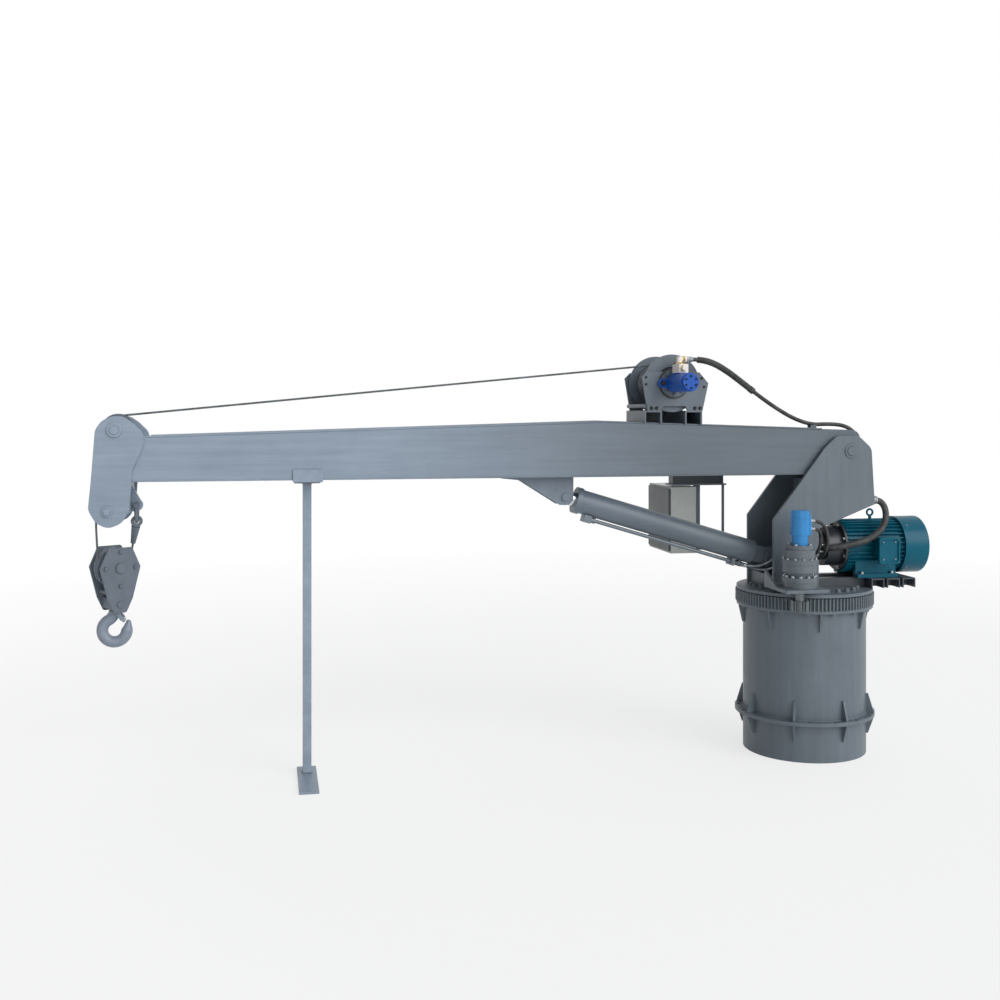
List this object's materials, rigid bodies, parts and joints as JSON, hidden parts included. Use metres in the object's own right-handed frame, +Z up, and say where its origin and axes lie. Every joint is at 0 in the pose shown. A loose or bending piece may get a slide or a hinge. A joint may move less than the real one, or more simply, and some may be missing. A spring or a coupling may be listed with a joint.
{
  "type": "marine deck crane",
  "caption": "Hydraulic marine deck crane: round pedestal, geared slewing tower, luffing box boom with hoist winch, hook block, electric power pack and boom rest post.",
  "frame": {"origin": "on the slewing axis, at the foot of the pedestal", "axes": "+Z up along the slewing axis; the boom points to -X at rest; +Y is the side of the controls"},
  "size_m": [4.1133, 1.2521, 1.9886],
  "materials": {
    "grey_paint": "satin",
    "light_grey_paint": "satin",
    "blue_paint": "gloss",
    "teal_paint": "gloss",
    "bare_steel": "machined",
    "wire_rope": "greased",
    "chrome": "polished",
    "bronze": "machined",
    "cast_aluminium": "cast",
    "black_rubber": "matte"
  },
  "bodies": {
    "base": {"pedestal": "grey_paint", "slew_ring_gear": "bare_steel", "slew_ring_bolts": "bare_steel", "boom_rest_post": "grey_paint"},
    "tower": {"slew_inner_ring": "bare_steel", "slew_balls": "bare_steel", "turntable_plate": "grey_paint", "tower_cheeks": "grey_paint", "tower_webs": "grey_paint", "tower_pins": "bare_steel", "slew_drive_bracket": "grey_paint", "slew_gearbox": "grey_paint", "gearbox_bolts": "bare_steel", "slew_motor": "blue_paint", "power_frame": "grey_paint", "motor_frame": "teal_paint", "motor_fan_cover": "teal_paint", "terminal_box": "teal_paint", "bell_housing": "cast_aluminium", "hydraulic_pump": "cast_aluminium", "oil_tank": "grey_paint", "suction_hose": "black_rubber", "slew_hoses": "black_rubber", "luff_hoses": "black_rubber", "control_stand": "grey_paint", "control_cabinet": "light_grey_paint", "control_valve": "cast_aluminium"},
    "lever_1": {"hoist_lever": "bare_steel"},
    "lever_2": {"luff_lever": "bare_steel"},
    "lever_3": {"slew_lever": "bare_steel"},
    "pinion": {"slew_pinion": "bare_steel"},
    "rotor": {"motor_rotor": "bare_steel"},
    "boom": {"boom_box": "grey_paint", "heel_bushes": "bronze", "head_plates": "grey_paint", "head_pins": "bare_steel", "luff_bracket": "grey_paint", "boom_rest_shoe": "grey_paint", "winch_base": "grey_paint", "winch_frame": "grey_paint", "winch_motor": "blue_paint", "winch_valve_block": "cast_aluminium", "winch_hose": "black_rubber", "hoist_rope_lead": "wire_rope"},
    "drum": {"winch_drum": "grey_paint", "rope_winding": "wire_rope"},
    "upper_wheel": {"head_sheave": "grey_paint"},
    "lower_wheel": {"guide_sheave": "grey_paint"},
    "barrel": {"luff_barrel": "grey_paint", "luff_gland": "grey_paint", "luff_pipes": "grey_paint"},
    "rod": {"luff_rod": "chrome"},
    "falls": {"shackle": "bare_steel", "rope_socket": "bare_steel", "rope_falls": "wire_rope"},
    "block": {"block_cheeks": "grey_paint", "block_pins": "bare_steel"},
    "block_wheel": {"block_sheave": "grey_paint"},
    "hook_body": {"hook": "grey_paint"},
    "latch_body": {"hook_latch": "bare_steel"}
  },
  "joints": [
    {"name": "slew", "type": "hinge", "parent": "base", "child": "tower", "pos_m": [0, 0, 0.775], "axis": [0, 0, 1], "continuous": true},
    {"name": "slew_pinion_turn", "type": "hinge", "parent": "tower", "child": "pinion", "pos_m": [-0.17605, -0.3311, 0.775], "axis": [0, 0, 1], "continuous": true},
    {"name": "motor_turn", "type": "hinge", "parent": "tower", "child": "rotor", "pos_m": [0.34, 0, 1.022], "axis": [1, 0, 0], "continuous": true},
    {"name": "luff", "type": "hinge", "parent": "tower", "child": "boom", "pos_m": [0.177, 0, 1.512], "axis": [0, 1, 0], "range_deg": [0, 60], "deforming": ["winch_hose"]},
    {"name": "luff_cylinder_swing", "type": "hinge", "parent": "tower", "child": "barrel", "pos_m": [-0.185, 0, 0.968], "axis": [0, 1, 0], "range_deg": [0, 55.21], "deforming": ["luff_hoses"]},
    {"name": "luff_rod_slide", "type": "slide", "parent": "barrel", "child": "rod", "axis": [-0.9576, 0, 0.2882], "range_m": [0, 0.64273]},
    {"name": "drum_turn", "type": "hinge", "parent": "boom", "child": "drum", "pos_m": [-0.75, 0, 1.84763], "axis": [0, 1, 0], "continuous": true},
    {"name": "head_sheave_turn", "type": "hinge", "parent": "boom", "child": "upper_wheel", "pos_m": [-3.361, 0, 1.628], "axis": [0, 1, 0], "continuous": true},
    {"name": "guide_sheave_turn", "type": "hinge", "parent": "boom", "child": "lower_wheel", "pos_m": [-3.392, 0, 1.263], "axis": [0, 1, 0], "continuous": true},
    {"name": "falls_swing", "type": "hinge", "parent": "boom", "child": "falls", "pos_m": [-3.28, 0, 1.281], "axis": [0, 1, 0], "range_deg": [-60.01, 0]},
    {"name": "hoist", "type": "slide", "parent": "falls", "child": "block", "axis": [0, 0, -1], "range_m": [0, 0.6], "deforming": ["rope_falls"]},
    {"name": "block_sheave_turn", "type": "hinge", "parent": "block", "child": "block_wheel", "pos_m": [-3.377, 0, 1], "axis": [0.5, -0.866, 0], "continuous": true},
    {"name": "hook_swivel", "type": "hinge", "parent": "block", "child": "hook_body", "pos_m": [-3.377, 0, 0.835], "axis": [0, 0, 1], "continuous": true},
    {"name": "latch", "type": "hinge", "parent": "hook_body", "child": "latch_body", "pos_m": [-3.3627, 0, 0.792], "axis": [0, 1, 0], "range_deg": [0, 30], "stiffness_Nm_per_rad": 0.25, "springref_deg": -28.65},
    {"name": "hoist_lever_tilt", "type": "hinge", "parent": "tower", "child": "lever_1", "pos_m": [-0.376, 0.49, 1.391], "axis": [1, 0, 0], "range_deg": [-15, 15], "stiffness_Nm_per_rad": 2},
    {"name": "luff_lever_tilt", "type": "hinge", "parent": "tower", "child": "lever_2", "pos_m": [-0.328, 0.49, 1.391], "axis": [1, 0, 0], "range_deg": [-15, 15], "stiffness_Nm_per_rad": 2},
    {"name": "slew_lever_tilt", "type": "hinge", "parent": "tower", "child": "lever_3", "pos_m": [-0.28, 0.49, 1.391], "axis": [1, 0, 0], "range_deg": [-15, 15], "stiffness_Nm_per_rad": 2}
  ],
  "couplings": [
    {"joint": "slew_pinion_turn", "follows": "slew", "ratio": 9.4167},
    {"joint": "luff_cylinder_swing", "follows": "luff", "ratio": 0.91999},
    {"joint": "luff_rod_slide", "follows": "luff", "m_per_rad": 0.61366},
    {"joint": "falls_swing", "follows": "luff", "ratio": -1},
    {"joint": "drum_turn", "follows": "hoist", "rad_per_m": -20.619},
    {"joint": "head_sheave_turn", "follows": "hoist", "rad_per_m": -32.258},
    {"joint": "guide_sheave_turn", "follows": "hoist", "rad_per_m": -32.258},
    {"joint": "block_sheave_turn", "follows": "hoist", "rad_per_m": 12.5}
  ]
}
